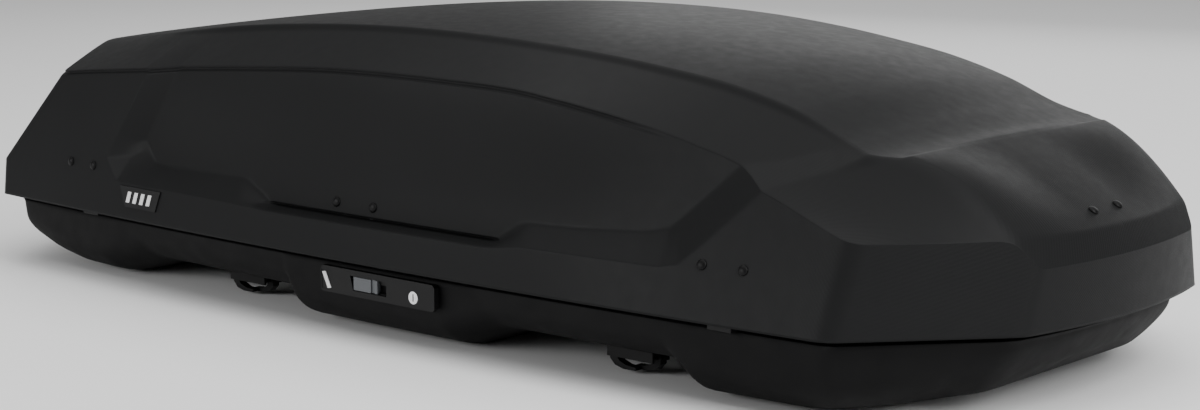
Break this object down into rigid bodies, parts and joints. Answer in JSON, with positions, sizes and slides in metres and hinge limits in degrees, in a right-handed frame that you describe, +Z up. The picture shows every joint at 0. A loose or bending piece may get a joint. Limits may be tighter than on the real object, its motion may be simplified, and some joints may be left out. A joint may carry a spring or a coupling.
{
  "type": "roof cargo box",
  "caption": "Long closed roof box with a faceted sloping nose, a lid that opens from either side, and jaw clamps under two channels for roof crossbars.",
  "frame": {"origin": "under the middle of the box, on the plane that the keels rest on", "axes": "+X to the front, +Y to the left side, +Z up"},
  "size_m": [1.9, 0.84, 0.428],
  "materials": {
    "lid_plastic": "satin, fine moulded grain",
    "base_plastic": "matte",
    "black_plastic": "matte",
    "grey_plastic": "satin",
    "pale_mark": "printed",
    "lock_metal": "polished",
    "steel": "zinc plated",
    "rivet_black": "gloss",
    "aluminium": "extruded",
    "knob_plastic": "textured",
    "spring_steel": "oiled"
  },
  "bodies": {
    "base": {"base_pan": "base_plastic", "hinge_saddles": "black_plastic", "saddle_screws": "steel", "right_floor_stiffener": "aluminium", "right_lock_housing": "black_plastic", "right_lock_marker": "pale_mark", "left_floor_stiffener": "aluminium", "left_lock_housing": "black_plastic", "left_lock_marker": "pale_mark", "front_lifter_base_bracket": "steel", "rear_lifter_base_bracket": "steel"},
    "lid": {"lid_shell": "lid_plastic", "side_rivets": "rivet_black", "end_rivets": "rivet_black", "right_hinge_brackets": "steel", "right_badge": "black_plastic", "right_badge_bars": "pale_mark", "left_hinge_brackets": "steel", "left_badge": "black_plastic", "left_badge_bars": "pale_mark", "right_hinge_pins": "steel", "front_lifter_lid_bracket": "steel", "rear_lifter_lid_bracket": "steel"},
    "left_pins": {"left_hinge_pins": "steel"},
    "right_slider": {"right_lock_slider": "grey_plastic"},
    "right_rod": {"right_lock_rod": "steel"},
    "right_key": {"right_key_cylinder": "lock_metal"},
    "left_slider": {"left_lock_slider": "grey_plastic"},
    "left_rod": {"left_lock_rod": "steel"},
    "left_key": {"left_key_cylinder": "lock_metal"},
    "front_base_bush": {"front_lifter_base_bush": "steel", "front_lifter_spring": "spring_steel"},
    "front_lower_arm": {"front_lifter_lower_arm": "steel"},
    "front_lid_bush": {"front_lifter_lid_bush": "steel"},
    "front_upper_arm": {"front_lifter_upper_arm": "steel"},
    "rear_base_bush": {"rear_lifter_base_bush": "steel", "rear_lifter_spring": "spring_steel"},
    "rear_lower_arm": {"rear_lifter_lower_arm": "steel"},
    "rear_lid_bush": {"rear_lifter_lid_bush": "steel"},
    "rear_upper_arm": {"rear_lifter_upper_arm": "steel"},
    "right_front_clamp": {"right_front_clamp_housing": "black_plastic"},
    "right_front_knob": {"right_front_clamp_knob": "knob_plastic"},
    "right_front_front_jaw": {"right_front_clamp_front_jaw": "black_plastic"},
    "right_front_rear_jaw": {"right_front_clamp_rear_jaw": "black_plastic"},
    "left_front_clamp": {"left_front_clamp_housing": "black_plastic"},
    "left_front_knob": {"left_front_clamp_knob": "knob_plastic"},
    "left_front_front_jaw": {"left_front_clamp_front_jaw": "black_plastic"},
    "left_front_rear_jaw": {"left_front_clamp_rear_jaw": "black_plastic"},
    "right_rear_clamp": {"right_rear_clamp_housing": "black_plastic"},
    "right_rear_knob": {"right_rear_clamp_knob": "knob_plastic"},
    "right_rear_front_jaw": {"right_rear_clamp_front_jaw": "black_plastic"},
    "right_rear_rear_jaw": {"right_rear_clamp_rear_jaw": "black_plastic"},
    "left_rear_clamp": {"left_rear_clamp_housing": "black_plastic"},
    "left_rear_knob": {"left_rear_clamp_knob": "knob_plastic"},
    "left_rear_front_jaw": {"left_rear_clamp_front_jaw": "black_plastic"},
    "left_rear_rear_jaw": {"left_rear_clamp_rear_jaw": "black_plastic"}
  },
  "joints": [
    {"name": "open_left_side", "type": "hinge", "parent": "base", "child": "left_pins", "pos_m": [0, -0.372, 0.112], "axis": [1, 0, 0], "range_deg": [0, 38]},
    {"name": "open_right_side", "type": "hinge", "parent": "left_pins", "child": "lid", "pos_m": [0, 0.372, 0.112], "axis": [-1, 0, 0], "range_deg": [0, 38]},
    {"name": "right_slider_slide", "type": "slide", "parent": "base", "child": "right_slider", "axis": [1, 0, 0], "range_m": [0, 0.018]},
    {"name": "right_rod_slide", "type": "slide", "parent": "base", "child": "right_rod", "axis": [1, 0, 0], "range_m": [0, 0.018]},
    {"name": "right_key_turn", "type": "hinge", "parent": "base", "child": "right_key", "pos_m": [0.1125, -0.4, 0.0727], "axis": [0, -1, 0], "range_deg": [0, 90]},
    {"name": "left_slider_slide", "type": "slide", "parent": "base", "child": "left_slider", "axis": [1, 0, 0], "range_m": [0, 0.018]},
    {"name": "left_rod_slide", "type": "slide", "parent": "base", "child": "left_rod", "axis": [1, 0, 0], "range_m": [0, 0.018]},
    {"name": "left_key_turn", "type": "hinge", "parent": "base", "child": "left_key", "pos_m": [0.1125, 0.4, 0.0727], "axis": [0, 1, 0], "range_deg": [0, 90]},
    {"name": "front_base_bush_turn", "type": "hinge", "parent": "base", "child": "front_base_bush", "pos_m": [0.886, 0, 0.095], "axis": [1, 0, 0], "range_deg": [0, 62]},
    {"name": "front_lower_arm_turn", "type": "hinge", "parent": "front_base_bush", "child": "front_lower_arm", "pos_m": [0.886, 0, 0.095], "axis": [1, 0, 0], "range_deg": [0, 14]},
    {"name": "front_lid_bush_turn", "type": "hinge", "parent": "lid", "child": "front_lid_bush", "pos_m": [0.878, 0, 0.222], "axis": [-1, 0, 0], "range_deg": [0, 52]},
    {"name": "front_upper_arm_turn", "type": "hinge", "parent": "front_lid_bush", "child": "front_upper_arm", "pos_m": [0.878, 0, 0.222], "axis": [-1, 0, 0], "range_deg": [0, 24]},
    {"name": "rear_base_bush_turn", "type": "hinge", "parent": "base", "child": "rear_base_bush", "pos_m": [-0.886, 0, 0.095], "axis": [1, 0, 0], "range_deg": [0, 62]},
    {"name": "rear_lower_arm_turn", "type": "hinge", "parent": "rear_base_bush", "child": "rear_lower_arm", "pos_m": [-0.886, 0, 0.095], "axis": [1, 0, 0], "range_deg": [0, 14]},
    {"name": "rear_lid_bush_turn", "type": "hinge", "parent": "lid", "child": "rear_lid_bush", "pos_m": [-0.878, 0, 0.222], "axis": [-1, 0, 0], "range_deg": [0, 52]},
    {"name": "rear_upper_arm_turn", "type": "hinge", "parent": "rear_lid_bush", "child": "rear_upper_arm", "pos_m": [-0.878, 0, 0.222], "axis": [-1, 0, 0], "range_deg": [0, 24]},
    {"name": "right_front_clamp_slide", "type": "slide", "parent": "base", "child": "right_front_clamp", "axis": [1, 0, 0], "range_m": [-0.02, 0.02]},
    {"name": "right_front_knob_turn", "type": "hinge", "parent": "right_front_clamp", "child": "right_front_knob", "pos_m": [0.41, -0.292, 0.045], "axis": [0, 0, 1], "range_deg": [0, 1080]},
    {"name": "right_front_front_jaw_turn", "type": "hinge", "parent": "right_front_clamp", "child": "right_front_front_jaw", "pos_m": [0.44, -0.292, 0.024], "axis": [0, -1, 0], "range_deg": [0, 16]},
    {"name": "right_front_rear_jaw_turn", "type": "hinge", "parent": "right_front_clamp", "child": "right_front_rear_jaw", "pos_m": [0.38, -0.292, 0.024], "axis": [0, 1, 0], "range_deg": [0, 16]},
    {"name": "left_front_clamp_slide", "type": "slide", "parent": "base", "child": "left_front_clamp", "axis": [1, 0, 0], "range_m": [-0.02, 0.02]},
    {"name": "left_front_knob_turn", "type": "hinge", "parent": "left_front_clamp", "child": "left_front_knob", "pos_m": [0.41, 0.292, 0.045], "axis": [0, 0, 1], "range_deg": [0, 1080]},
    {"name": "left_front_front_jaw_turn", "type": "hinge", "parent": "left_front_clamp", "child": "left_front_front_jaw", "pos_m": [0.44, 0.292, 0.024], "axis": [0, -1, 0], "range_deg": [0, 16]},
    {"name": "left_front_rear_jaw_turn", "type": "hinge", "parent": "left_front_clamp", "child": "left_front_rear_jaw", "pos_m": [0.38, 0.292, 0.024], "axis": [0, 1, 0], "range_deg": [0, 16]},
    {"name": "right_rear_clamp_slide", "type": "slide", "parent": "base", "child": "right_rear_clamp", "axis": [1, 0, 0], "range_m": [-0.02, 0.02]},
    {"name": "right_rear_knob_turn", "type": "hinge", "parent": "right_rear_clamp", "child": "right_rear_knob", "pos_m": [-0.335, -0.292, 0.045], "axis": [0, 0, 1], "range_deg": [0, 1080]},
    {"name": "right_rear_front_jaw_turn", "type": "hinge", "parent": "right_rear_clamp", "child": "right_rear_front_jaw", "pos_m": [-0.305, -0.292, 0.024], "axis": [0, -1, 0], "range_deg": [0, 16]},
    {"name": "right_rear_rear_jaw_turn", "type": "hinge", "parent": "right_rear_clamp", "child": "right_rear_rear_jaw", "pos_m": [-0.365, -0.292, 0.024], "axis": [0, 1, 0], "range_deg": [0, 16]},
    {"name": "left_rear_clamp_slide", "type": "slide", "parent": "base", "child": "left_rear_clamp", "axis": [1, 0, 0], "range_m": [-0.02, 0.02]},
    {"name": "left_rear_knob_turn", "type": "hinge", "parent": "left_rear_clamp", "child": "left_rear_knob", "pos_m": [-0.335, 0.292, 0.045], "axis": [0, 0, 1], "range_deg": [0, 1080]},
    {"name": "left_rear_front_jaw_turn", "type": "hinge", "parent": "left_rear_clamp", "child": "left_rear_front_jaw", "pos_m": [-0.305, 0.292, 0.024], "axis": [0, -1, 0], "range_deg": [0, 16]},
    {"name": "left_rear_rear_jaw_turn", "type": "hinge", "parent": "left_rear_clamp", "child": "left_rear_rear_jaw", "pos_m": [-0.365, 0.292, 0.024], "axis": [0, 1, 0], "range_deg": [0, 16]}
  ],
  "couplings": [
    {"joint": "right_rod_slide", "follows": "right_slider_slide", "ratio": 1},
    {"joint": "left_rod_slide", "follows": "left_slider_slide", "ratio": 1},
    {"joint": "front_base_bush_turn", "follows": "open_left_side", "ratio": 1.6126},
    {"joint": "front_lower_arm_turn", "follows": "open_right_side", "ratio": 0.3612},
    {"joint": "front_lid_bush_turn", "follows": "open_left_side", "ratio": 1.3612},
    {"joint": "front_upper_arm_turn", "follows": "open_right_side", "ratio": 0.6126},
    {"joint": "rear_base_bush_turn", "follows": "open_left_side", "ratio": 1.6126},
    {"joint": "rear_lower_arm_turn", "follows": "open_right_side", "ratio": 0.3612},
    {"joint": "rear_lid_bush_turn", "follows": "open_left_side", "ratio": 1.3612},
    {"joint": "rear_upper_arm_turn", "follows": "open_right_side", "ratio": 0.6126},
    {"joint": "right_front_front_jaw_turn", "follows": "right_front_knob_turn", "ratio": 0.013889},
    {"joint": "right_front_rear_jaw_turn", "follows": "right_front_knob_turn", "ratio": 0.013889},
    {"joint": "left_front_front_jaw_turn", "follows": "left_front_knob_turn", "ratio": 0.013889},
    {"joint": "left_front_rear_jaw_turn", "follows": "left_front_knob_turn", "ratio": 0.013889},
    {"joint": "right_rear_front_jaw_turn", "follows": "right_rear_knob_turn", "ratio": 0.013889},
    {"joint": "right_rear_rear_jaw_turn", "follows": "right_rear_knob_turn", "ratio": 0.013889},
    {"joint": "left_rear_front_jaw_turn", "follows": "left_rear_knob_turn", "ratio": 0.013889},
    {"joint": "left_rear_rear_jaw_turn", "follows": "left_rear_knob_turn", "ratio": 0.013889}
  ]
}
